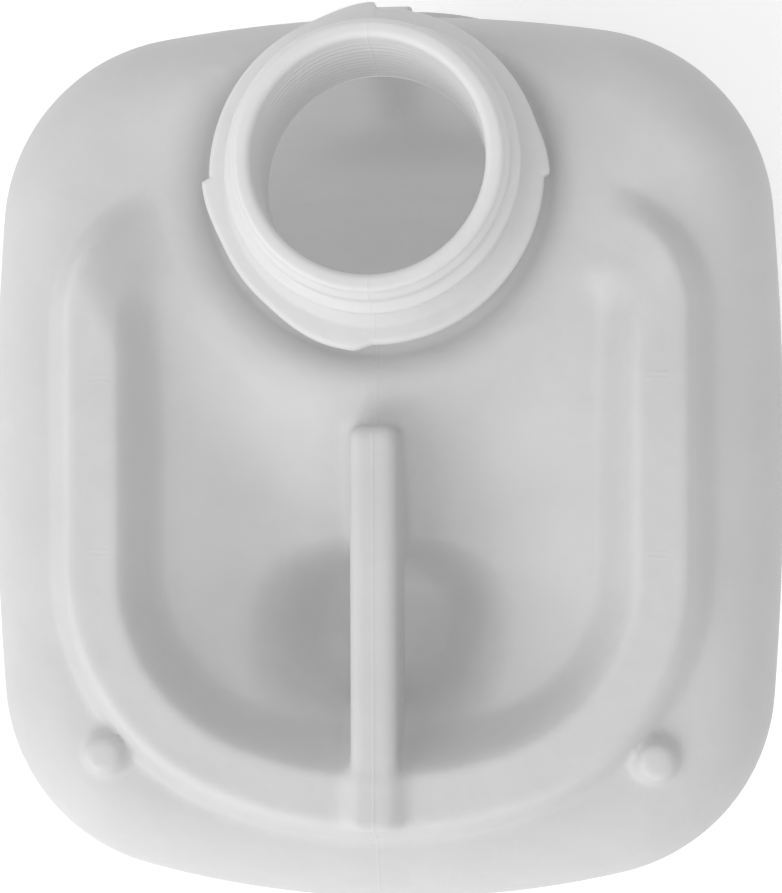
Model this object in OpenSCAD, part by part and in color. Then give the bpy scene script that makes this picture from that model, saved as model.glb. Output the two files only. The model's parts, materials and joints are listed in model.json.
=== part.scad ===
// Blow-moulded canister with a wide screw neck, a hand recess and a handle bar.
// The screw cap hangs in front on a moulded tether. Base on z = 0, neck towards +Y.

/* [Tank] */
// Width across the sides at the widest level
tank_w = 185; // [176:1:196]
// Distance from the tank's centre to its rear wall
tank_rear = 104; // [100:1:110]
// Distance from the tank's centre to its front wall
tank_front = 102; // [100:1:104]
// Height from the base to the rim of the neck
rim_z = 240; // [200:1:300]
// Drop from the rim to the flat ledge round the top
ledge_drop = 23; // [21:1:26]
// Radius of the vertical corners
corner_r = 46.5; // [44:0.5:48]
// Radius of the rounded shoulder edge
shoulder_r = 22; // [20:1:24]
// Radius of the edge round the base
base_r = 12; // [6:1:16]
// How far the walls lean in from the shoulder to the base
wall_lean = 3; // [0:0.5:5]
// Wall thickness
wall = 2.5; // [2:0.1:3]

/* [Hand recess] */
// Half width of the raised U ridge, measured to its crest
crest_x = 61; // [59:0.5:62]
// Distance from the tank's centre to the rear crest
crest_rear = 74; // [72:0.5:75]
// Height of the crest above the ledge
crest_rise = 9; // [6:0.5:11]
// Width of the ridge's outer slope
crest_slope = 9; // [8:0.5:12]
// Depth of the recess floor below the ledge
floor_drop = 13; // [10:0.5:14]
// Width of the bar along its top
bar_top_w = 9.8; // [8:0.1:11]
// Width of the bar at its foot
bar_foot_w = 14; // [12:0.5:16]
// Front end of the bar
bar_front_y = 6; // [4:0.5:8]
// Drop from the rim to the top of the bar
bar_drop = 12; // [11:0.5:14]
// Height of the finger gap under the bar
gap_h = 22; // [20:1:24]
// Length of the finger gap along the bar
gap_l = 36; // [32:1:40]

/* [Neck] */
// Distance from the tank's centre to the neck's axis
neck_y = 60.3; // [59:0.1:61]
// Radius of the bore
bore_r = 23.9; // [22:0.1:24.5]
// Outer radius of the rim
rim_r = 27.5; // [27:0.1:28]
// Outer radius of the thread
thread_r = 31; // [30:0.1:31.5]
// Rise of the thread in one turn
thread_pitch = 5; // [4:0.5:5]
// Outer radius of the collar
collar_r = 36.5; // [36:0.1:37]
// Drop from the rim to the top of the collar
collar_drop = 18.5; // [18:0.5:19]

/* [Cap and tether] */
// Outer radius of the cap's skirt
cap_r = 35; // [34.5:0.1:35.5]
// Height of the cap
cap_h = 21.5; // [20:0.5:22]
// Number of grip ribs round the cap
grip_ribs = 48; // [24:4:72]
// Width of the strap
strap_w = 14; // [12:0.5:16]
// Thickness of the strap
strap_t = 2; // [1.8:0.1:2.2]
// Length of each strap link between bends
link_l = 41; // [41:0.5:42]
// Distance from the last bend to the middle of the cap
arm_l = 40; // [40:0.5:41]

/* [Hidden] */
$fn = 96;

// Levels
ledge_z = rim_z - ledge_drop;
waist_z = ledge_z - shoulder_r;
floor_z = ledge_z - floor_drop;
bar_z = rim_z - bar_drop;
collar_z = rim_z - collar_drop;
collar_t = 3.5;
seat_z = ledge_z - 4.2;

// Outline of the tank: four corner discs joined by shallow arcs
side_swell = 2;
corner_x = tank_w / 2 - corner_r - side_swell;
corner_y = 52;
side_r = arc_r(tank_w / 2, corner_x, corner_y);
rear_r = arc_r(tank_rear, corner_y, corner_x);
front_r = arc_r(tank_front, corner_y, corner_x);
// Radius of the arc that touches both corner discs and reaches the given distance
function arc_r(reach, along, across) =
    (pow(corner_r, 2) - pow(along - reach, 2) - pow(across, 2)) / (2 * (along - reach + corner_r));

// Path of the ridge's crest: straight legs, corner arcs and a rear arc
bend_r = 46;
bend_x = crest_x - bend_r;
bend_y = -25;
rear_bend_r = (pow(bend_x, 2) + pow(crest_rear + bend_y, 2) - pow(bend_r, 2))
    / (2 * (crest_rear + bend_y - bend_r));
rear_bend_y = rear_bend_r - crest_rear;
bend_turn = atan2(bend_x, rear_bend_y - bend_y);
leg_end_y = 48;
leg_end_r = 18;

// Cross-section of the ridge: flat top past the crest, then an inner step down to the bowl
crest_top = 4;
step_start = 4.5;
step_drop = 2;
step_run = 9;
bowl_start = 8;
bowl_run = 36;
// Fade of the ridge and of the bowl towards the neck's plateau
rise_fade = 22;
bowl_fade = 36;

// Finger gap, with the dish and the well round it
gap_y = -41;
gap_top_z = bar_z - 18;
dish_depth = 5;
dish_r = 34;
dish_run = 30;
well_reach = 31;
well_half_l = 23;
well_run = 0.6;
well_depth = floor_z - dish_depth - gap_top_z + gap_h;

// Neck
neck_root_r = thread_r - 2.2;
neck_foot_r = 31.5;
plinth_r = 46.5;
thread_turns = 1.5;

// Cap and tether
hinge_r = 2;
hinge_gap = 0.35;
hinge_room = hinge_r + 0.4;
knuckle_l = 4.8;
side_knuckle_l = (strap_w - 5) / 2 - 0.3;
side_knuckle_x = (strap_w - side_knuckle_l) / 2;
skirt_t = 2.6;
top_t = 2.4;
knob_r = 5;
knob_head_r = 7.4;
band_h = 5;
band_slit = 0.8;
strap_y = tank_front + hinge_r + hinge_gap + 1.2;
hinge_1_z = waist_z - 3;
hinge_2_z = hinge_1_z - link_l;
hinge_3_z = hinge_2_z - link_l;
cap_z = hinge_3_z - arm_l;
eyelet_z = 1.6;

HDPE = [0.84, 0.84, 0.84];
CAP_PLASTIC = [0.78, 0.79, 0.8];
FOAM = [0.93, 0.93, 0.92];

// ---------------------------------------------------------------- tank shell

// One entry for each point of the outline: its arc's centre and radius, and the way it faces
function arc(centre, r, from_a, to_a, steps) =
    [for (i = [0:steps - 1]) [centre, r, from_a + (to_a - from_a) * i / steps]];

function outline(fine) = let (
    side_turn = atan2(corner_y, corner_x - tank_w / 2 + side_r),
    rear_turn = atan2(corner_x, corner_y - tank_rear + rear_r),
    front_turn = atan2(corner_x, corner_y - tank_front + front_r))
    concat(
        arc([tank_w / 2 - side_r, 0], side_r, -side_turn, side_turn, 14 * fine),
        arc([corner_x, corner_y], corner_r, side_turn, 90 - front_turn, 8 * fine),
        arc([0, tank_front - front_r], front_r, 90 - front_turn, 90 + front_turn, 12 * fine),
        arc([-corner_x, corner_y], corner_r, 90 + front_turn, 180 - side_turn, 8 * fine),
        arc([side_r - tank_w / 2, 0], side_r, 180 - side_turn, 180 + side_turn, 14 * fine),
        arc([-corner_x, -corner_y], corner_r, 180 + side_turn, 270 - rear_turn, 8 * fine),
        arc([0, rear_r - tank_rear], rear_r, 270 - rear_turn, 270 + rear_turn, 12 * fine),
        arc([corner_x, -corner_y], corner_r, 270 + rear_turn, 360 - side_turn, 8 * fine));

function ring(rays, inset) = [for (ray = rays) ray[0] + (ray[1] - inset) * [cos(ray[2]), sin(ray[2])]];

// 0 below 0, 1 above 1 and a smooth S between
function ease(t) = t <= 0 ? 0 : t >= 1 ? 1 : (1 - cos(180 * t)) / 2;

// Distance from the crest's path: positive outside the U, negative in the recess
function from_crest(x, y) =
    y > bend_y ? from_leg(abs(x) - crest_x + leg_end_r, y - leg_end_y + leg_end_r)
    : abs(atan2(x, rear_bend_y - y)) < bend_turn ? norm([x, y - rear_bend_y]) - rear_bend_r
    : norm([abs(x) - bend_x, y - bend_y]) - bend_r;
function from_leg(qx, qy) = norm([max(qx, 0), max(qy, 0)]) + min(max(qx, qy), 0) - leg_end_r;

// Height of the top above the ledge, before the shoulder rounds it off
function relief(x, y, grow) = let (
    s = from_crest(x, y),
    from_neck = norm([x, y - neck_y]) - plinth_r,
    rise = crest_rise * (1 - ease((s + grow / 2 - crest_top) / crest_slope)) * ease(from_neck / rise_fade),
    step = ease((grow - s - step_start) / step_run),
    bowl = ease((grow - s - bowl_start) / bowl_run),
    opened = ease((from_neck + 5 + grow) / bowl_fade),
    dish = dish_depth * ease((dish_r - norm([x, y - gap_y]) + grow) / dish_run),
    across = abs(x) / (well_reach + grow),
    along = abs(y - gap_y) / (well_half_l + grow),
    well = well_depth * ease((1 - pow(pow(across, 3) + pow(along, 3), 1 / 3)) / well_run))
    rise * (1 - step) - opened * (step * (step_drop + grow) + bowl * (floor_drop - step_drop + dish)) - well;

// Closed solid: base, wall, rounded shoulder and relief, as rings of points joined to each other
module tank_solid(grow, fine, top_rings) {
    rays = outline(fine);
    n = len(rays);
    foot = wall_lean + base_r;
    deep = 40;
    low = [for (a = [0:30:90]) [foot - (base_r - grow) * sin(a), base_r - (base_r - grow) * cos(a)]];
    turn_r = shoulder_r - grow;
    high = [for (a = [0:15:75]) [shoulder_r - turn_r * cos(a), waist_z + turn_r * sin(a)]];
    flat = [for (d = [shoulder_r:4.5:deep]) [d, ledge_z - grow]];
    walls = [for (level = concat(low, high, flat)) let (on_top = level[1] > waist_z)
        [for (p = ring(rays, level[0])) [p[0], p[1], level[1] + (on_top ? relief(p[0], p[1], grow) : 0)]]];
    inner = ring(rays, deep);
    tops = [for (k = [1:top_rings - 1]) [for (p = inner) let (q = p * (1 - k / top_rings))
        [q[0], q[1], ledge_z - grow + relief(q[0], q[1], grow)]]];
    rings = concat(walls, tops);
    points = concat([for (r = rings) each r], [[0, 0, grow], [0, 0, ledge_z - grow + relief(0, 0, grow)]]);
    last = len(rings) - 1;
    polyhedron(points, concat(
        [for (k = [0:last - 1], i = [0:n - 1]) let (a = k * n + i, b = k * n + (i + 1) % n)
            each [[a, b + n, b], [a, a + n, b + n]]],
        [for (i = [0:n - 1]) [(i + 1) % n, len(points) - 2, i]],
        [for (i = [0:n - 1]) [last * n + i, len(points) - 1, last * n + (i + 1) % n]]));
}

// Bar across the recess, with its rounded top edges
module bar() {
    edge = 1.8;
    foot_z = gap_top_z - gap_h;
    difference() {
        translate([0, bar_front_y, 0]) rotate([90, 0, 0]) linear_extrude(bar_front_y + crest_rear)
            union() {
                polygon([[-bar_foot_w / 2, foot_z], [bar_foot_w / 2, foot_z],
                         [bar_top_w / 2, bar_z - edge], [-bar_top_w / 2, bar_z - edge]]);
                translate([-bar_top_w / 2 + edge, bar_z - edge - 0.1])
                    square([bar_top_w - 2 * edge, edge + 0.1]);
                for (sx = [-1, 1]) translate([sx * (bar_top_w / 2 - edge), bar_z - edge]) circle(edge);
            }
        // Underside of the bar: flat with round corners at both posts
        post = gap_l / 2 - 8;
        translate([-20, gap_y, 0]) rotate([90, 0, 90]) linear_extrude(40) union() {
            translate([-gap_l / 2, foot_z - 1]) square([gap_l, gap_h - 7]);
            translate([-post, foot_z - 1]) square([2 * post, gap_h + 1]);
            for (sy = [-1, 1]) translate([sy * post, gap_top_z - 8]) circle(8);
        }
    }
}

// ---------------------------------------------------------------- neck

// Helical thread: one ring of four corners at each step, facing out or in
module helix(root, crest, half_foot, half_tip, pitch, turns) {
    steps = round(turns * 24);
    taper = 4;
    points = [for (i = [0:steps]) let (
            a = 360 * turns * i / steps, z = pitch * turns * i / steps,
            k = min(1, i / taper, (steps - i) / taper) * 0.94 + 0.06,
            tip = root + (crest - root) * k)
        each [[root * cos(a), root * sin(a), z - half_foot], [tip * cos(a), tip * sin(a), z - half_tip],
              [tip * cos(a), tip * sin(a), z + half_tip], [root * cos(a), root * sin(a), z + half_foot]]];
    outward = crest > root;
    side = [for (i = [0:steps - 1], j = [0:3]) let (a = 4 * i + j, b = 4 * i + (j + 1) % 4)
        each [[a, b, b + 4], [a, b + 4, a + 4]]];
    last = 4 * steps;
    ends = [[0, 3, 2], [0, 2, 1], [last, last + 1, last + 2], [last, last + 2, last + 3]];
    faces = concat(side, ends);
    polyhedron(points, outward ? faces : [for (f = faces) [f[0], f[2], f[1]]]);
}

// Ratchet tooth on the collar: a short ramp that ends in a step
module ratchet_tooth(start, turn, rise) {
    steps = 6;
    translate([0, 0, collar_z - collar_t]) linear_extrude(collar_t) polygon(concat(
        [[0, 0]], [for (i = [0:steps]) let (a = start + turn * i / steps)
            (collar_r - 0.2 + rise * (1 - i / steps)) * [cos(a), sin(a)]]));
}

module neck_solid() translate([0, neck_y, 0]) {
    translate([0, 0, seat_z - 12]) cylinder(collar_z - seat_z + 12, r = neck_foot_r);
    rotate_extrude() {
        translate([0, collar_z - collar_t]) square([collar_r - collar_t / 2, collar_t]);
        translate([collar_r - collar_t / 2, collar_z - collar_t / 2]) circle(collar_t / 2);
    }
    // Swell from the collar up to the thread
    translate([0, 0, collar_z - 0.1]) cylinder(3.1, r1 = neck_foot_r + 0.6, r2 = neck_root_r);
    cylinder(rim_z - 3, r = neck_root_r);
    translate([0, 0, rim_z - 3]) cylinder(2.2, r1 = neck_root_r, r2 = rim_r);
    cylinder(rim_z, r = rim_r - 0.6);
    translate([0, 0, rim_z - 0.8]) cylinder(0.8, r1 = rim_r, r2 = rim_r - 0.8);
    translate([0, 0, collar_z + 4.6]) rotate([0, 0, -90])
        helix(neck_root_r - 0.6, thread_r, 1.7, 0.6, thread_pitch, thread_turns);
    ratchet_tooth(89, 25, 1.4);
    ratchet_tooth(184, 29, 1.6);
    ratchet_tooth(-4, 22, 1.2);
}

// ---------------------------------------------------------------- nodes

module tank_body() color(HDPE) difference() {
    union() {
        difference() {
            tank_solid(0, 1, 13);
            // Seat of the tether ring
            translate([0, neck_y, seat_z]) cylinder(20, r = plinth_r - 3.5);
        }
        bar();
        neck_solid();
        for (sx = [-1, 1]) translate([sx * 60.2, -66, ledge_z - 1])
            cylinder(5.3, r1 = 6.2, r2 = 3.2);
    }
    difference() {
        tank_solid(wall, 0.5, 8);
        translate([0, neck_y, seat_z - wall]) cylinder(40, r = plinth_r);
    }
    translate([0, neck_y, seat_z - 30]) cylinder(60, r = bore_r);
}

// Barrel of a bend, centred on the given x
module knuckle(x, length, r) translate([x, 0, 0]) rotate([0, 90, 0]) cylinder(length, r = r, center = true);

// Strap link hanging from its upper bend, with a centre knuckle above and side knuckles below
module link(length) {
    difference() {
        translate([-strap_w / 2, -strap_t / 2, -length]) cube([strap_w, strap_t, length]);
        for (sx = [-1, 1]) knuckle(sx * 5.25, 5.5, hinge_room);
        translate([0, 0, -length]) knuckle(0, 5.6, hinge_room);
    }
    knuckle(0, knuckle_l, hinge_r);
    for (sx = [-1, 1]) translate([0, 0, -length]) knuckle(sx * side_knuckle_x, side_knuckle_l, hinge_r);
}

module tether_ring() color(HDPE) {
    mid_y = tank_front - shoulder_r;
    seat_r = shoulder_r + hinge_gap;
    tongue_turn = 56;
    difference() {
        translate([0, neck_y, seat_z + 0.2]) cylinder(3.8, r = collar_r - 0.9);
        translate([0, neck_y, seat_z - 1]) cylinder(8, r = neck_foot_r + 0.25);
    }
    // Tongue that follows the shoulder down to the first bend
    translate([0, mid_y, waist_z]) rotate([0, -90, 0]) rotate([0, 0, 90 - tongue_turn])
        translate([0, 0, -strap_w / 2]) rotate_extrude(angle = tongue_turn)
            translate([seat_r, 0]) square([strap_t, strap_w]);
    for (sx = [-1, 1]) {
        translate([0, strap_y, hinge_1_z]) knuckle(sx * side_knuckle_x, side_knuckle_l, hinge_r);
        translate([sx * side_knuckle_x - side_knuckle_l / 2, mid_y + seat_r + 0.15, hinge_1_z - 1])
            cube([side_knuckle_l, strap_t - 0.3, 5.5]);
    }
}

module strap_upper_link() color(HDPE) translate([0, strap_y, hinge_1_z]) link(link_l);

module strap_lower_link() color(HDPE) translate([0, strap_y, hinge_2_z]) link(link_l);

// Places a shape drawn on the closed cap (top on z = 0, opening down) as the cap hangs
module hung() translate([0, strap_y + eyelet_z, cap_z]) rotate([90, 0, 0]) children();

module strap_eyelet() color(HDPE) hung() {
    difference() {
        union() {
            translate([0, 0, eyelet_z - strap_t / 2]) cylinder(strap_t, r = 11);
            translate([-strap_w / 2, 0, eyelet_z - strap_t / 2]) cube([strap_w, arm_l, strap_t]);
        }
        translate([0, 0, -1]) cylinder(6, r = knob_r + 0.05);
        for (sx = [-1, 1]) translate([0, arm_l, eyelet_z]) knuckle(sx * 5.25, 5.5, hinge_room);
    }
    translate([0, arm_l, eyelet_z]) knuckle(0, knuckle_l, hinge_r);
}

module cap_shell() color(CAP_PLASTIC) hung() {
    difference() {
        union() {
            translate([0, 0, -cap_h]) linear_extrude(cap_h - 2) union() {
                circle(cap_r - 0.7);
                for (i = [0:grip_ribs - 1]) rotate(360 * i / grip_ribs)
                    translate([cap_r - 1, 0]) circle(1);
            }
            translate([0, 0, -2]) cylinder(2, r1 = cap_r - 0.7, r2 = cap_r - 2.7);
        }
        translate([0, 0, -cap_h - 1]) cylinder(cap_h - top_t + 1, r = cap_r - 0.7 - skirt_t);
        translate([0, 0, -0.6]) difference() {
            cylinder(1, r = cap_r - 6);
            cylinder(1, r = 13);
        }
    }
    // Knob that holds the eyelet
    translate([0, 0, -1]) cylinder(eyelet_z + strap_t / 2 + 1.4, r = knob_r);
    translate([0, 0, eyelet_z + strap_t / 2 + 0.35]) cylinder(1.4, r1 = knob_head_r, r2 = knob_r);
    translate([0, 0, -cap_h + 3])
        helix(cap_r - 0.3 - skirt_t, thread_r - 1.4, 1.5, 0.5, thread_pitch, 1.3);
}

// Ring below the skirt, joined to it by bridges that break at the first opening
module tamper_band() color(CAP_PLASTIC) hung() {
    top = -cap_h - band_slit;
    difference() {
        translate([0, 0, top - band_h]) cylinder(band_h, r = collar_r + 2.6);
        translate([0, 0, top - band_h - 1]) cylinder(band_h - 0.8, r = collar_r + 1);
        translate([0, 0, top - band_h - 1]) cylinder(band_h + 2, r = cap_r - 0.7 - skirt_t);
    }
    for (i = [0:11]) rotate(30 * i + 3.75) translate([cap_r - 2.6, -0.9, top - 0.1])
        cube([1.4, 1.8, band_slit + 0.1]);
}

module cap_gasket() color(FOAM) hung() translate([0, 0, -top_t - 1.6]) difference() {
    cylinder(1.6, r = cap_r - 0.7 - skirt_t);
    translate([0, 0, -1]) cylinder(4, r = bore_r - 3);
}

tank_body();
tether_ring();
strap_upper_link();
strap_lower_link();
strap_eyelet();
cap_shell();
tamper_band();
cap_gasket();
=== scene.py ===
"""Looks of the canister with its screw neck, tether and cap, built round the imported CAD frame.

Shapes are written in millimetres and become metres when their meshes are made.
"""

import json
import math

import bpy
import numpy as np
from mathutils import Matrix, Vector


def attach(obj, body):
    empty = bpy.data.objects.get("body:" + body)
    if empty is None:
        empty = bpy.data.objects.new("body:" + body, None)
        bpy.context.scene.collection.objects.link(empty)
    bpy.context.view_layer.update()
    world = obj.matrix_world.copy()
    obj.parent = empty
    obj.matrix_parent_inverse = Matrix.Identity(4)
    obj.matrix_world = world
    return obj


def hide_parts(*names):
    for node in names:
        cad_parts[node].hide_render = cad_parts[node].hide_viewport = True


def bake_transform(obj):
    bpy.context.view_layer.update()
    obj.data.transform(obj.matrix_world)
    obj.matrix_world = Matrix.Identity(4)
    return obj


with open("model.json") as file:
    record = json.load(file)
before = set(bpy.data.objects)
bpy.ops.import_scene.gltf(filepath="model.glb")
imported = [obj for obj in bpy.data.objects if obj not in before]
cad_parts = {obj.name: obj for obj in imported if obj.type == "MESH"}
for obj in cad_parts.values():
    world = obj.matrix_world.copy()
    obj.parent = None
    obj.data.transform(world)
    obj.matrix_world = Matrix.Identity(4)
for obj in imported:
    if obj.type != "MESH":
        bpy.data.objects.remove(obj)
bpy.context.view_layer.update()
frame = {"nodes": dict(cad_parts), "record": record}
joints = {j["name"]: j for j in frame["record"]["behaviour"]["joints"]}

# ---------------------------------------------------------------- sizes, in mm

HALF_W, REAR, FRONT = 92.5, 104.0, 102.0
RIM_Z, LEDGE_Z, WAIST_Z = 240.0, 217.0, 195.0
CORNER_R, CORNER_X, CORNER_Y = 46.5, 44.0, 52.0
SHOULDER_R, BASE_R, LEAN = 22.0, 12.0, 3.0

CREST_X, CREST_REAR, CREST_RISE, CREST_TOP, CREST_SLOPE = 61.0, 74.0, 9.0, 4.0, 9.0
BEND_R, BEND_Y, LEG_END_Y, LEG_END_R = 46.0, -25.0, 48.0, 18.0
STEP_START, STEP_RUN, STEP_DROP = 4.5, 9.0, 2.0
BOWL_START, BOWL_RUN, BOWL_DROP = 8.0, 36.0, 11.0
RISE_FADE, BOWL_FADE = 22.0, 36.0

BAR_Z, BAR_TOP_W, BAR_FOOT_W, BAR_FRONT_Y = 228.0, 9.8, 14.0, 6.0
GAP_Y, GAP_L, GAP_TOP_Z, GAP_H = -41.0, 36.0, 210.0, 22.0
WELL_REACH, WELL_HALF_L, WELL_DEPTH, WELL_RUN = 31.0, 23.0, 11.0, 0.6
DISH_R, DISH_RUN, DISH_DEPTH = 34.0, 30.0, 5.0
BUMP_X, BUMP_Y, BUMP_R, BUMP_H = 60.2, -66.0, 6.3, 5.3

NECK_Y, BORE_R, RIM_R, THREAD_R, ROOT_R, FOOT_R = 60.3, 23.9, 27.5, 31.0, 28.8, 31.5
COLLAR_R, COLLAR_Z, COLLAR_T, SEAT_Z, PLINTH_R = 36.5, 221.5, 3.5, 212.8, 46.5
PITCH, TURNS = 5.0, 1.5
# Ratchet teeth on the collar: start and sweep in degrees, and rise
TEETH = ((89, 25, 1.4), (180, 26, 1.6), (-1, 22, 1.2))
# Swell of the collar at the rear: start and end in degrees, and rise
SWELL_START, SWELL_END, SWELL_RISE = 226, 270, 1.6

STRAP_Y, BEND_1, BEND_2, BEND_3 = (
    joints["strap_root_bend"]["pos_m"][1] * 1000,
    joints["strap_root_bend"]["pos_m"][2] * 1000,
    joints["strap_middle_bend"]["pos_m"][2] * 1000,
    joints["strap_end_bend"]["pos_m"][2] * 1000,
)
CAP_Z = joints["cap_spin"]["pos_m"][2] * 1000
STRAP_W, STRAP_T, EYELET_R, EYELET_BORE_R = 14.0, 2.0, 11.0, 5.05


def arc_r(reach, along, across):
    """Radius of the arc that touches both corner discs and reaches that far."""
    return (CORNER_R**2 - (along - reach) ** 2 - across**2) / (2 * (along - reach + CORNER_R))


SIDE_R = arc_r(HALF_W, CORNER_X, CORNER_Y)
REAR_R = arc_r(REAR, CORNER_Y, CORNER_X)
FRONT_R = arc_r(FRONT, CORNER_Y, CORNER_X)
SIDE_TURN = math.atan2(CORNER_Y, CORNER_X - HALF_W + SIDE_R)
REAR_TURN = math.atan2(CORNER_X, CORNER_Y - REAR + REAR_R)
FRONT_TURN = math.atan2(CORNER_X, CORNER_Y - FRONT + FRONT_R)

BEND_X = CREST_X - BEND_R
REAR_BEND_R = (BEND_X**2 + (CREST_REAR + BEND_Y) ** 2 - BEND_R**2) / (2 * (CREST_REAR + BEND_Y - BEND_R))
REAR_BEND_Y = REAR_BEND_R - CREST_REAR
BEND_TURN = math.atan2(BEND_X, REAR_BEND_Y - BEND_Y)

# ---------------------------------------------------------------- distance fields


def ease(t):
    """0 below 0, 1 above 1 and a smooth S between."""
    return (1 - np.cos(np.pi * np.clip(t, 0, 1))) / 2


def join(a, b, k):
    """Union of two fields with a fillet of about k."""
    h = np.maximum(k - np.abs(a - b), 0) / k
    return np.minimum(a, b) - h * h * k / 4


def meet(a, b, k):
    """Intersection of two fields with an edge rounded by about k."""
    return -join(-a, -b, k)


def rounded(distances, r):
    """Intersection of half spaces given by their distances, with edges of radius r."""
    q = [d + r for d in distances]
    top = q[0]
    square = np.maximum(q[0], 0) ** 2
    for d in q[1:]:
        top = np.maximum(top, d)
        square = square + np.maximum(d, 0) ** 2
    return np.sqrt(square) + np.minimum(top, 0) - r


def outline_depth(x, y):
    """Distance inwards from the tank's outline."""
    u, v = np.abs(x), np.abs(y)
    end_r = np.where(y > 0, FRONT_R, REAR_R)
    end_reach = np.where(y > 0, FRONT, REAR)
    end_turn = np.where(y > 0, FRONT_TURN, REAR_TURN)
    side = np.hypot(u - HALF_W + SIDE_R, y) - SIDE_R
    end = np.hypot(x, v - end_reach + end_r) - end_r
    corner = np.hypot(u - CORNER_X, v - CORNER_Y) - CORNER_R
    turn = np.arctan2(v - CORNER_Y, u - CORNER_X)
    at_corner = (turn > SIDE_TURN) & (turn < math.pi / 2 - end_turn)
    return -np.where(at_corner, corner, np.maximum(side, end))


def from_crest(x, y):
    """Distance from the ridge's crest: positive outside the U, negative in the recess."""
    qx, qy = np.abs(x) - CREST_X + LEG_END_R, y - LEG_END_Y + LEG_END_R
    legs = np.hypot(np.maximum(qx, 0), np.maximum(qy, 0)) + np.minimum(np.maximum(qx, qy), 0) - LEG_END_R
    rear = np.hypot(x, y - REAR_BEND_Y) - REAR_BEND_R
    bends = np.hypot(np.abs(x) - BEND_X, y - BEND_Y) - BEND_R
    in_rear = np.abs(np.arctan2(x, REAR_BEND_Y - y)) < BEND_TURN
    return np.where(y > BEND_Y, legs, np.where(in_rear, rear, bends))


def relief(x, y):
    """Height of the top above the ledge, before the shoulder rounds it off."""
    s = from_crest(x, y)
    from_neck = np.hypot(x, y - NECK_Y) - PLINTH_R
    rise = CREST_RISE * (1 - ease((s - CREST_TOP) / CREST_SLOPE)) * ease(from_neck / RISE_FADE)
    step = ease((-s - STEP_START) / STEP_RUN)
    bowl = ease((-s - BOWL_START) / BOWL_RUN)
    opened = ease((from_neck + 5) / BOWL_FADE)
    dish = DISH_DEPTH * ease((DISH_R - np.hypot(x, y - GAP_Y)) / DISH_RUN)
    across, along = np.abs(x) / WELL_REACH, np.abs(y - GAP_Y) / WELL_HALF_L
    well = WELL_DEPTH * ease((1 - np.cbrt(across**3 + along**3)) / WELL_RUN)
    return rise * (1 - step) - opened * (STEP_DROP * step + (BOWL_DROP + dish) * bowl) - well


def tank_field(x, y, z):
    """The tank's outside, with its ridge, recess, bar, seat and corner bumps."""
    depth = outline_depth(x, y)
    level = z - relief(x, y)
    a, b = SHOULDER_R - depth, level - WAIST_Z
    lean = LEAN * np.maximum(WAIST_Z - z, 0) / (WAIST_Z - BASE_R)
    plain = np.maximum(lean - depth, level - LEDGE_Z)
    body = np.where((a > 0) & (b > 0), np.hypot(a, b) - SHOULDER_R, plain)

    # Bar across the recess, open below
    share = np.clip((BAR_Z - z) / (BAR_Z - GAP_TOP_Z + GAP_H), 0, 1)
    half = (BAR_TOP_W + (BAR_FOOT_W - BAR_TOP_W) * share) / 2
    bar = rounded([np.abs(x) - half, np.maximum(y - BAR_FRONT_Y, -80 - y) + 0 * x, z - BAR_Z + 0 * x], 2.2)
    gap = rounded([np.abs(y - GAP_Y) - GAP_L / 2 + 0 * z, z - GAP_TOP_Z + 0 * y], 8)
    body = join(body, meet(bar, -gap, 2.0), 4.0)

    # Seat round the neck: a flat that rises softly into the plateau
    from_neck = np.hypot(x, y - NECK_Y)
    seat = SEAT_Z + 0.9 * np.maximum(from_neck - 38, 0) + 0.12 * np.maximum(from_neck - 47, 0) ** 2
    body = meet(body, 0.8 * (z - seat), 3.5)

    # Corner bumps
    from_bump = np.hypot(np.abs(x) - BUMP_X, y - BUMP_Y)
    foot = LEDGE_Z - 1
    side = from_bump - BUMP_R + 2.9 * (z - foot) / BUMP_H
    cone = meet(0.88 * side, z - foot - BUMP_H, 1.0)
    return join(body, cone, 1.0)


# ---------------------------------------------------------------- meshes from fields


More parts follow.
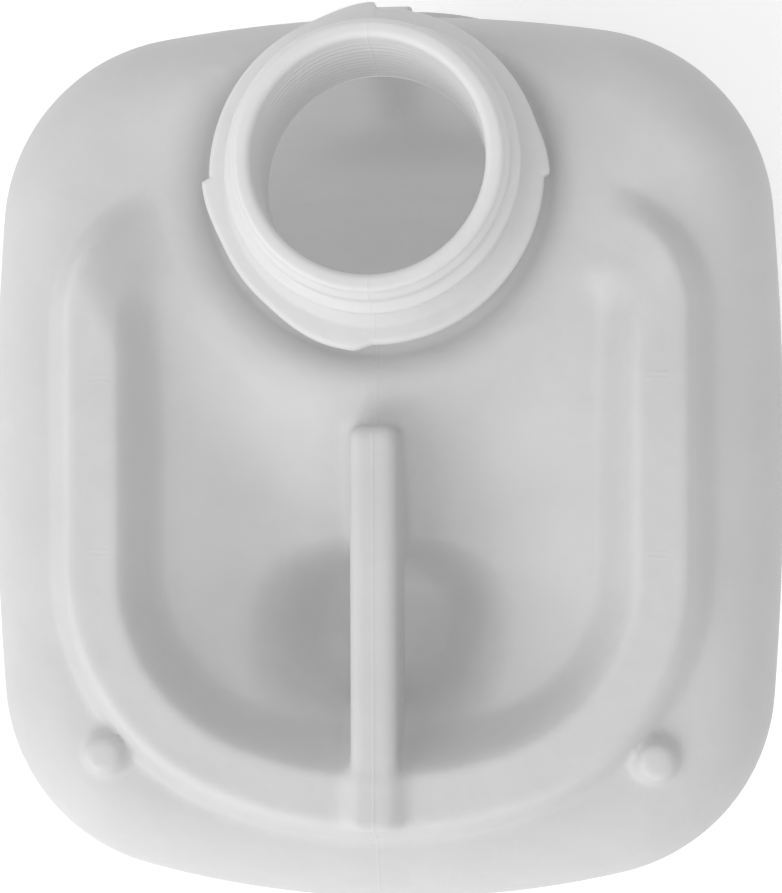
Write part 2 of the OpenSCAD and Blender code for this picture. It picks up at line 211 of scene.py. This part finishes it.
def net(field, low, high, cell, keep=None, projections=4):
    """Quads on the zero surface of a field, with their points moved onto it."""
    low, high = np.array(low, float), np.array(high, float)
    axes = [low[i] + cell * np.arange(int(math.ceil((high[i] - low[i]) / cell)) + 1) for i in range(3)]
    f = field(axes[0][:, None, None], axes[1][None, :, None], axes[2][None, None, :])
    f = np.ascontiguousarray(np.broadcast_to(f, tuple(len(a) for a in axes)))
    inside = f < 0
    count = np.zeros(tuple(n - 1 for n in f.shape), np.int8)
    corners = [(i, j, k) for i in (0, 1) for j in (0, 1) for k in (0, 1)]
    for i, j, k in corners:
        count += inside[i : i + count.shape[0], j : j + count.shape[1], k : k + count.shape[2]]
    cells = np.argwhere((count > 0) & (count < 8))
    index = np.full(count.shape, -1, np.int64)
    index[tuple(cells.T)] = np.arange(len(cells))

    total, hits = np.zeros((len(cells), 3)), np.zeros(len(cells))
    for c in corners:
        for axis in range(3):
            if c[axis]:
                continue
            start = cells + np.array(c)
            end = start.copy()
            end[:, axis] += 1
            f0, f1 = f[tuple(start.T)], f[tuple(end.T)]
            crossed = (f0 < 0) != (f1 < 0)
            t = np.where(crossed, f0 / np.where(crossed, f0 - f1, 1), 0)
            point = start.astype(float)
            point[:, axis] += t
            total += point * crossed[:, None]
            hits += crossed
    points = low + cell * total / hits[:, None]

    step = 0.02
    for _ in range(projections):
        value = field(*points.T)
        slope = np.stack(
            [
                (field(*(points + step * e).T) - field(*(points - step * e).T)) / (2 * step)
                for e in np.eye(3)
            ],
            axis=1,
        )
        move = value[:, None] * slope / np.maximum((slope**2).sum(1), 0.05)[:, None]
        length = np.linalg.norm(move, axis=1, keepdims=True)
        points = points - move * np.minimum(1, 0.6 * cell / np.maximum(length, 1e-9))

    quads = []
    for axis in range(3):
        b, c = (axis + 1) % 3, (axis + 2) % 3
        here = [slice(None)] * 3
        there = [slice(None)] * 3
        here[axis], there[axis] = slice(0, -1), slice(1, None)
        for other in (b, c):
            here[other] = there[other] = slice(1, -1)
        s0, s1 = inside[tuple(here)], inside[tuple(there)]
        edges = np.argwhere(s0 != s1)
        falls = s0[tuple(edges.T)]
        edges[:, b] += 1
        edges[:, c] += 1
        around = []
        for db, dc in ((0, 0), (-1, 0), (-1, -1), (0, -1)):
            e = edges.copy()
            e[:, b] += db
            e[:, c] += dc
            around.append(index[tuple(e.T)])
        quad = np.stack(around, axis=1)
        quads.append(np.where(falls[:, None], quad, quad[:, ::-1]))
    quads = np.concatenate(quads)
    if keep is not None:
        quads = quads[keep(points)[quads].all(axis=1)]
    used, quads = np.unique(quads, return_inverse=True)
    return points[used], quads.reshape(-1, 4)


def piece(name, points, faces, material, smooth=True):
    """A mesh object in metres from points in mm."""
    mesh = bpy.data.meshes.new(name)
    mesh.from_pydata((np.asarray(points) / 1000).tolist(), [], [list(f) for f in faces])
    mesh.update()
    mesh.polygons.foreach_set("use_smooth", [smooth] * len(mesh.polygons))
    obj = bpy.data.objects.new(name, mesh)
    bpy.context.scene.collection.objects.link(obj)
    mesh.materials.append(material)
    return obj


def grid_faces(rows, columns, close=True):
    """Quads between rows of points laid out one after another, each row closed on itself."""
    k, i = np.meshgrid(np.arange(rows - 1), np.arange(columns if close else columns - 1), indexing="ij")
    a, b = k * columns + i, k * columns + (i + 1) % columns
    return np.stack([a, b, b + columns, a + columns], axis=-1).reshape(-1, 4)


# ---------------------------------------------------------------- materials


class Nodes:
    """Short way to write a node tree."""

    def __init__(self, name):
        self.material = bpy.data.materials.new(name)
        self.material.use_nodes = True
        self.tree = self.material.node_tree
        self.tree.nodes.clear()
        self.coords = self.tree.nodes.new("ShaderNodeTexCoord").outputs["Object"]

    def add(self, kind, inputs=(), **settings):
        node = self.tree.nodes.new(kind)
        for key, value in settings.items():
            setattr(node, key, value)
        for key, value in dict(inputs).items():
            if isinstance(value, bpy.types.NodeSocket):
                self.tree.links.new(value, node.inputs[key])
            else:
                node.inputs[key].default_value = value
        return node

    def noise(self, scale, detail=3.0, roughness=0.5, vector=None):
        node = self.add(
            "ShaderNodeTexNoise",
            {"Vector": vector or self.coords, "Scale": scale, "Detail": detail, "Roughness": roughness},
        )
        return node.outputs["Fac"]

    def math(self, operation, a, b=0.0, c=0.0):
        return self.add("ShaderNodeMath", {0: a, 1: b, 2: c}, operation=operation).outputs[0]

    def fit(self, value, low, high, to_low, to_high, smooth=False):
        node = self.add(
            "ShaderNodeMapRange",
            {"Value": value, "From Min": low, "From Max": high, "To Min": to_low, "To Max": to_high},
            interpolation_type="SMOOTHSTEP" if smooth else "LINEAR",
        )
        return node.outputs["Result"]

    def bump(self, height, distance, strength=1.0, normal=None):
        inputs = {"Height": height, "Distance": distance, "Strength": strength}
        if normal is not None:
            inputs["Normal"] = normal
        return self.add("ShaderNodeBump", inputs).outputs["Normal"]

    def grey(self, value):
        return self.add("ShaderNodeCombineColor", {"Red": value, "Green": value, "Blue": value}).outputs[0]


def hdpe(name, tone, translucency, painted_glow, moulded=True):
    """Natural blow-moulded polyethylene: milky, satin, with soft flow marks and a fine skin, and a painted
    glow that stands in for light scattered inside.
    """
    n = Nodes(name)
    xyz = n.add("ShaderNodeSeparateXYZ", {0: n.coords}).outputs
    cloud = n.noise(28.0, 4.0, 0.55)
    mottle = n.noise(160.0, 5.0, 0.6)
    skin = n.noise(900.0, 2.0, 0.5)
    broad = n.fit(cloud, 0.3, 0.7, tone - 0.018, tone + 0.018)
    value = n.math("ADD", broad, n.fit(mottle, 0.3, 0.7, -0.008, 0.008))
    colour = n.grey(value)
    normal = n.bump(cloud, 0.0010 if moulded else 0.0002)
    normal = n.bump(mottle, 0.00012, 1.0, normal)
    normal = n.bump(skin, 0.00002, 1.0, normal)
    if moulded:
        # Raised line where the two halves of the mould met, and the mould's short vent marks
        line = n.fit(n.math("ABSOLUTE", xyz["X"]), 0.0, 0.00045, 1.0, 0.0, True)
        across = n.math("ABSOLUTE", n.math("SUBTRACT", n.math("ABSOLUTE", xyz["X"]), 0.0595))
        from_middle = n.math("ABSOLUTE", n.math("ADD", xyz["Y"], 0.0025))
        along = n.math("ABSOLUTE", n.math("SUBTRACT", from_middle, 0.0188))
        mark = n.math(
            "MULTIPLY",
            n.fit(across, 0.0018, 0.0026, 1.0, 0.0, True),
            n.fit(n.math("ABSOLUTE", n.math("SUBTRACT", along, 0.0006)), 0.0001, 0.0005, 1.0, 0.0, True),
        )
        seam = n.math("ADD", line, n.math("MULTIPLY", mark, 0.6))
        normal = n.bump(seam, 0.00005, 1.0, normal)
    rough = n.fit(mottle, 0.3, 0.7, 0.40, 0.52)
    # Painted glow: emission on the back faces of moulded pieces, plus the given glow amount on every face,
    # stands in for light that the milky walls scatter about inside the tank
    back = n.add("ShaderNodeNewGeometry").outputs["Backfacing"]
    inside = n.math("MULTIPLY_ADD", back, 0.11 if moulded else 0.0, painted_glow)
    surface = n.add(
        "ShaderNodeBsdfPrincipled",
        {
            "Base Color": colour,
            "Roughness": rough,
            "IOR": 1.5,
            "Specular IOR Level": 0.4,
            "Emission Color": (1, 1, 1, 1),
            "Emission Strength": inside,
            "Normal": normal,
        },
    )
    through = n.add("ShaderNodeBsdfTranslucent", {"Color": colour, "Normal": normal})
    # The base is thicker than the walls and lets less light through
    thin = n.fit(xyz["Z"], 0.0, 0.16, 0.03, translucency, True)
    mix = n.add("ShaderNodeMixShader", {0: thin, 1: surface.outputs[0], 2: through.outputs[0]})
    out = n.add("ShaderNodeOutputMaterial")
    n.tree.links.new(mix.outputs[0], out.inputs["Surface"])
    return n.material


def cap_plastic(name, tone):
    """Injection-moulded cap: a little glossier and denser than the tank, with a fine spark texture."""
    n = Nodes(name)
    grain = n.noise(1400.0, 3.0, 0.6)
    cloud = n.noise(45.0, 4.0, 0.5)
    broad = n.fit(cloud, 0.3, 0.7, tone - 0.012, tone + 0.012)
    value = n.math("ADD", broad, n.fit(grain, 0.35, 0.65, -0.006, 0.006))
    normal = n.bump(cloud, 0.0001)
    normal = n.bump(grain, 0.00003, 1.0, normal)
    surface = n.add(
        "ShaderNodeBsdfPrincipled",
        {
            "Base Color": n.grey(value),
            "Roughness": n.fit(grain, 0.3, 0.7, 0.34, 0.46),
            "IOR": 1.5,
            "Subsurface Weight": 0.15,
            "Subsurface Radius": (0.002, 0.002, 0.002),
            "Subsurface Scale": 1.0,
            "Normal": normal,
        },
    )
    out = n.add("ShaderNodeOutputMaterial")
    n.tree.links.new(surface.outputs[0], out.inputs["Surface"])
    return n.material


def foam(name):
    """Closed-cell foam of the gasket."""
    n = Nodes(name)
    cells = n.add(
        "ShaderNodeTexVoronoi", {"Vector": n.coords, "Scale": 1500.0}, feature="DISTANCE_TO_EDGE"
    ).outputs["Distance"]
    cloud = n.noise(60.0, 3.0)
    normal = n.bump(cells, 0.0001, 0.7)
    value = n.math("ADD", n.fit(cells, 0.0, 0.2, 0.70, 0.80), n.fit(cloud, 0.3, 0.7, -0.02, 0.02))
    surface = n.add(
        "ShaderNodeBsdfPrincipled",
        {"Base Color": n.grey(value), "Roughness": n.fit(cells, 0.0, 0.3, 0.95, 0.8), "Normal": normal},
    )
    out = n.add("ShaderNodeOutputMaterial")
    n.tree.links.new(surface.outputs[0], out.inputs["Surface"])
    return n.material


# Painted glow: the tank and neck shine from their back faces, and the neck, a lighter copy of the tank's
# plastic, also glows on every face
TANK = hdpe("tank_hdpe", 0.66, 0.26, 0.0)
NECK = hdpe("neck_hdpe_painted_glow", 0.72, 0.25, 0.045)
STRAP = hdpe("strap_hdpe", 0.63, 0.12, 0.0, moulded=False)
CAP = cap_plastic("cap_plastic_skin", 0.58)
FOAM = foam("gasket_foam_skin")

# ---------------------------------------------------------------- tank

SPLIT_Z = 186.0


def top_kept(p):
    """Points of the top's mesh that stay: above the split or in the well, and outside the neck."""
    in_neck = np.hypot(p[:, 0], p[:, 1] - NECK_Y) < FOOT_R - 1.5
    in_well = np.hypot(p[:, 0], p[:, 1] - GAP_Y) < 50
    return ((p[:, 2] > SPLIT_Z) | in_well) & ~in_neck


cell = 1.2
points, quads = net(tank_field, (-95, -107, 180), (95, 105, 231), cell, top_kept)
tank_top = piece("tank_top", points, quads, TANK)
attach(tank_top, "tank")
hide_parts("tank_body")


def outline_rays(step):
    """Centres, radii and directions of points round the outline."""
    arcs = [
        ((HALF_W - SIDE_R, 0), SIDE_R, -SIDE_TURN, SIDE_TURN),
        ((CORNER_X, CORNER_Y), CORNER_R, SIDE_TURN, math.pi / 2 - FRONT_TURN),
        ((0, FRONT - FRONT_R), FRONT_R, math.pi / 2 - FRONT_TURN, math.pi / 2 + FRONT_TURN),
        ((-CORNER_X, CORNER_Y), CORNER_R, math.pi / 2 + FRONT_TURN, math.pi - SIDE_TURN),
        ((SIDE_R - HALF_W, 0), SIDE_R, math.pi - SIDE_TURN, math.pi + SIDE_TURN),
        ((-CORNER_X, -CORNER_Y), CORNER_R, math.pi + SIDE_TURN, 1.5 * math.pi - REAR_TURN),
        ((0, REAR_R - REAR), REAR_R, 1.5 * math.pi - REAR_TURN, 1.5 * math.pi + REAR_TURN),
        ((CORNER_X, -CORNER_Y), CORNER_R, 1.5 * math.pi + REAR_TURN, 2 * math.pi - SIDE_TURN),
    ]
    rays = []
    for centre, r, start, end in arcs:
        steps = max(2, int(round(r * (end - start) / step)))
        for turn in start + (end - start) * np.arange(steps) / steps:
            rays.append((centre[0], centre[1], r, math.cos(turn), math.sin(turn)))
    return np.array(rays)


rays = outline_rays(1.6)
base_turns = np.linspace(0, math.pi / 2, 13)
heights = np.linspace(BASE_R, SPLIT_Z - 0.5, 46)[1:]
levels = [(BASE_R + LEAN - BASE_R * math.sin(a), BASE_R - BASE_R * math.cos(a)) for a in base_turns]
levels += [(LEAN * (WAIST_Z - z) / (WAIST_Z - BASE_R), z) for z in heights]
levels += [(levels[-1][0] + 0.05, SPLIT_Z + 1.6)]
inner = [(d, 0.0) for d in np.linspace(44, BASE_R + LEAN, 12)[:-1]]
rings = []
for inset, z in inner + levels:
    ring = rays[:, :2] + (rays[:, 2:3] - inset) * rays[:, 3:5]
    rings.append(np.column_stack([ring, np.full(len(ring), z)]))
first = rings[0]
for share in (0.66, 0.33):
    rings.insert(0, np.column_stack([first[:, :2] * share, np.zeros(len(first))]))
faces = grid_faces(len(rings), len(rays)).tolist()
walls = np.concatenate(rings + [[[0.0, 0.0, 0.0]]])
centre = len(walls) - 1
faces += [[centre, (i + 1) % len(rays), i] for i in range(len(rays))]
tank_walls = piece("tank_walls", walls, faces, TANK)
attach(tank_walls, "tank")

# ---------------------------------------------------------------- neck


def profile(points, spacing):
    """Points evenly along a polyline."""
    points = np.array(points, float)
    steps = np.hypot(*np.diff(points, axis=0).T)
    run = np.concatenate([[0], np.cumsum(steps)])
    at = np.linspace(0, run[-1], int(run[-1] / spacing) + 1)
    return np.column_stack([np.interp(at, run, points[:, k]) for k in (0, 1)])


def corner(cx, cz, r, start, end, steps=6):
    """Points of a rounded corner, from one angle to another in degrees."""
    turns = np.radians(np.linspace(start, end, steps))
    return [(cx + r * math.cos(t), cz + r * math.sin(t)) for t in turns]


bore_foot = SEAT_Z - 5.5
outline = [(BORE_R + 1.6, bore_foot), (BORE_R + 1.1, SEAT_Z + 4)]
outline += [(BORE_R + 0.35, RIM_Z - 12), (BORE_R, RIM_Z - 3)]
outline += corner(BORE_R + 1.3, RIM_Z - 1.3, 1.3, 180, 90)
outline += corner(RIM_R - 1.0, RIM_Z - 1.0, 1.0, 90, 0)
outline += [(RIM_R + 0.1, RIM_Z - 1.6), (ROOT_R - 0.1, RIM_Z - 3.2), (ROOT_R, RIM_Z - 4)]
outline += [(ROOT_R, COLLAR_Z + 3.6), (ROOT_R + 0.5, COLLAR_Z + 2.0), (FOOT_R, COLLAR_Z + 0.8)]
outline += [(FOOT_R + 1.4, COLLAR_Z + 0.1), (COLLAR_R - 1.5, COLLAR_Z)]
outline += corner(COLLAR_R - 1.3, COLLAR_Z - 1.3, 1.3, 90, 0)
outline += corner(COLLAR_R - 1.0, COLLAR_Z - COLLAR_T + 1.0, 1.0, 0, -90)
outline += [(FOOT_R + 1.2, COLLAR_Z - COLLAR_T), (FOOT_R, COLLAR_Z - COLLAR_T - 1.2), (FOOT_R, SEAT_Z + 2)]
outline += [(FOOT_R + 0.5, SEAT_Z + 0.6), (FOOT_R + 1.8, SEAT_Z - 0.4), (FOOT_R + 1.8, SEAT_Z - 2.5)]
outline += [(BORE_R + 1.6, bore_foot)]
rz = profile(outline, 0.42)
turns = np.radians(np.arange(0, 360, 1.2))
R, T = np.meshgrid(rz[:, 0], turns, indexing="ij")
Z, _ = np.meshgrid(rz[:, 1], turns, indexing="ij")
row = np.arange(len(rz))[:, None] + 0 * T
highest = int(np.argmax(rz[:, 1]))
outside = (row > highest) & (Z > COLLAR_Z + 1.5)

# Thread: a smooth trapezoid that rises with the turn and fades out at both ends
for winding in range(2):
    turn = np.mod(T + math.pi / 2, 2 * math.pi) / (2 * math.pi) + winding
    fade = ease(turn / 0.14) * ease((TURNS - turn) / 0.14)
    crest = COLLAR_Z + 4.6 + PITCH * turn
    R = R + outside * (THREAD_R - ROOT_R) * fade * ease((1.75 - np.abs(Z - crest)) / 1.2)

# Ratchet teeth on the collar: each swells slowly and ends in a step
on_collar = ease((R - FOOT_R - 1.5) / 3.0) * (row > highest) * ease((Z - COLLAR_Z + COLLAR_T + 0.5) / 0.5)
on_collar = on_collar * (Z < COLLAR_Z + 0.5)
for start, sweep, rise in TEETH:
    along = np.mod(np.degrees(T) - start, 360) / sweep
    R = R + on_collar * rise * ease(1 - along) * ease(along / 0.05)

# The collar swells at the rear up to the parting line, and the bore keeps faint rings from the blow pin
swell = ease((SWELL_END - np.degrees(T)) / 8) * ease((np.degrees(T) - SWELL_START) / 30)
R = R + on_collar * SWELL_RISE * swell
in_bore = (row < highest) & (Z < RIM_Z - 2.5)
R = R + in_bore * 0.10 * np.sin(2 * math.pi * (Z + 1.1 * np.sin(T)) / 2.6) * ease((RIM_Z - 2.5 - Z) / 3)
wobble = 0.10 * np.sin(3 * T + 0.7) + 0.06 * np.sin(5 * T + 2.0)
R = R + wobble * (row > highest)
neck = np.stack([R * np.cos(T), NECK_Y + R * np.sin(T), Z], axis=-1).reshape(-1, 3)
neck_faces = grid_faces(len(rz), len(turns))[:, ::-1]
neck_finish = piece("neck_finish", neck, neck_faces, NECK)
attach(neck_finish, "tank")

# ---------------------------------------------------------------- tether


def strap_half(z, bends):
    """Half thickness of the strap: full between bends and thin at them."""
    half = STRAP_T / 2 + 0 * z
    for bend in bends:
        half = half - 0.55 * (1 - ease((np.abs(z - bend) - 2.0) / 3.0))
    return half


def strap_field(x, y, z):
    """Straight hanging part of the strap."""
    half = strap_half(z, (BEND_1, BEND_2, BEND_3))
    return rounded([np.abs(x) - STRAP_W / 2 + 0 * z, np.abs(y - STRAP_Y) - half + 0 * x], 0.6)


def root_field(x, y, z):
    """Ring under the collar and the tongue that follows the shoulder down to the first bend."""
    from_neck = np.hypot(x, y - NECK_Y)
    ring = rounded([np.abs(from_neck - 33.65) - 1.85, np.abs(z - SEAT_Z - 2.1) - 1.85], 0.5)
    drop = ease((WAIST_Z + 5 - z) / 8)
    from_axis = np.hypot(y - FRONT + SHOULDER_R, np.maximum(z - WAIST_Z, 0)) - SHOULDER_R - 1.35
    sideways = from_axis - (STRAP_Y - FRONT - 1.35) * drop
    half = strap_half(z, (BEND_1,))
    edges = [np.abs(x) - STRAP_W / 2 + 0 * z, np.abs(sideways) - half + 0 * x, 92.5 - y + 0 * x]
    tongue = rounded(edges, 0.5)
    strap = meet(tongue, BEND_1 - 21 - z + 0 * x, 0.1)
    return join(ring, strap, 1.2)


def middle_field(x, y, z):
    """Strap between the first and the last bend's pieces."""
    ends = np.maximum(z - BEND_1 + 20.5, BEND_2 - 21 - z)
    return meet(strap_field(x, y, z), ends + 0 * x, 0.1)


def eyelet_field(x, y, z):
    """Lower end of the strap with the eyelet that the cap's knob holds."""
    strap = np.maximum(strap_field(x, y, z), np.maximum(z - BEND_2 + 20.5, CAP_Z - z) + 0 * x)
    from_cap = np.hypot(x, z - CAP_Z)
    disc = rounded([from_cap - EYELET_R + 0 * y, np.abs(y - STRAP_Y) - 1 + 0 * x], 0.6)
    bead = np.hypot(from_cap - 7.6, y - STRAP_Y) - 1.25
    both = join(join(strap, disc, 5.0), bead, 0.6)
    return meet(both, EYELET_BORE_R - from_cap + 0 * y, 0.5)


fine = 0.5
points, quads = net(root_field, (-37, 22, BEND_1 - 23), (37, 109, SEAT_Z + 6), fine)
tether_root = piece("tether_root", points, quads, STRAP)
points, quads = net(middle_field, (-8, STRAP_Y - 2, BEND_2 - 23), (8, STRAP_Y + 2, BEND_1 - 19), fine)
tether_middle = piece("tether_middle", points, quads, STRAP)
points, quads = net(eyelet_field, (-12, STRAP_Y - 2.4, CAP_Z - 12), (12, STRAP_Y + 2.4, BEND_2 - 19), fine)
tether_end = piece("tether_end", points, quads, STRAP)


def bend(obj, a, b, z):
    """Bakes a strap piece's transform into its mesh."""
    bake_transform(obj)


bend(tether_root, "tank", "strap_upper", BEND_1)
bend(tether_middle, "strap_upper", "strap_lower", BEND_2)
bend(tether_end, "strap_lower", "eyelet", BEND_3)
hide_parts("tether_ring", "strap_upper_link")
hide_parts("strap_lower_link")
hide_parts("strap_eyelet")

# ---------------------------------------------------------------- cap

for node, material in (("cap_shell", CAP), ("tamper_band", CAP), ("cap_gasket", FOAM)):
    obj = frame["nodes"][node]
    obj.data.materials.clear()
    obj.data.materials.append(material)

# ---------------------------------------------------------------- stage, light and camera

scene = bpy.context.scene
floor_mesh = bpy.data.meshes.new("floor")
corners = [(40 * sx, 40 * sy, -0.0005) for sx, sy in ((-1, -1), (1, -1), (1, 1), (-1, 1))]
floor_mesh.from_pydata(corners, [], [(0, 1, 2, 3)])
floor = bpy.data.objects.new("floor", floor_mesh)
scene.collection.objects.link(floor)
paper = Nodes("pale_floor")
paper_shader = paper.add(
    "ShaderNodeBsdfPrincipled",
    {
        "Base Color": (0.93, 0.93, 0.93, 1),
        "Roughness": 0.9,
        "Emission Color": (1, 1, 1, 1),
        "Emission Strength": 0.16,
    },
)
paper.tree.links.new(paper_shader.outputs[0], paper.add("ShaderNodeOutputMaterial").inputs["Surface"])
floor_mesh.materials.append(paper.material)

world = bpy.data.worlds.new("studio")
scene.world = world
world.use_nodes = True
# Even studio light, brighter from above, from the left and from behind the tank
sky = world.node_tree
facing = sky.nodes.new("ShaderNodeVectorMath")
facing.operation = "DOT_PRODUCT"
facing.inputs[1].default_value = (-0.60, -0.60, 0.53)
sky.links.new(sky.nodes.new("ShaderNodeTexCoord").outputs["Generated"], facing.inputs[0])
level = sky.nodes.new("ShaderNodeMapRange")
for key, value in (("From Min", -0.75), ("From Max", 1.0), ("To Min", 0.30), ("To Max", 1.27)):
    level.inputs[key].default_value = value
sky.links.new(facing.outputs["Value"], level.inputs["Value"])
sky.links.new(level.outputs["Result"], sky.nodes["Background"].inputs["Strength"])
sky.nodes["Background"].inputs["Color"].default_value = (1, 1, 1, 1)


def area(name, place, target, size, watts):
    """A square light that faces its target."""
    light = bpy.data.lights.new(name, "AREA")
    light.shape = "SQUARE"
    light.size = size
    light.energy = watts
    obj = bpy.data.objects.new(name, light)
    obj.location = place
    obj.rotation_euler = (Vector(target) - Vector(place)).to_track_quat("-Z", "Y").to_euler()
    scene.collection.objects.link(obj)


area("key", (-0.9, -1.0, 1.0), (0, 0, LEDGE_Z / 1000), 1.4, 10.0)

camera_data = bpy.data.cameras.new("camera")
camera = bpy.data.objects.new("camera", camera_data)
camera_data.lens = 50.25
camera_data.sensor_width = 36.0
camera_data.clip_start = 0.01
camera.location = (0.02146, 0.00166, 0.49006)
camera.rotation_euler = (math.radians(-0.035), math.radians(3.829), math.radians(-0.161))
scene.collection.objects.link(camera)
scene.camera = camera
scene.view_settings.view_transform = "Standard"
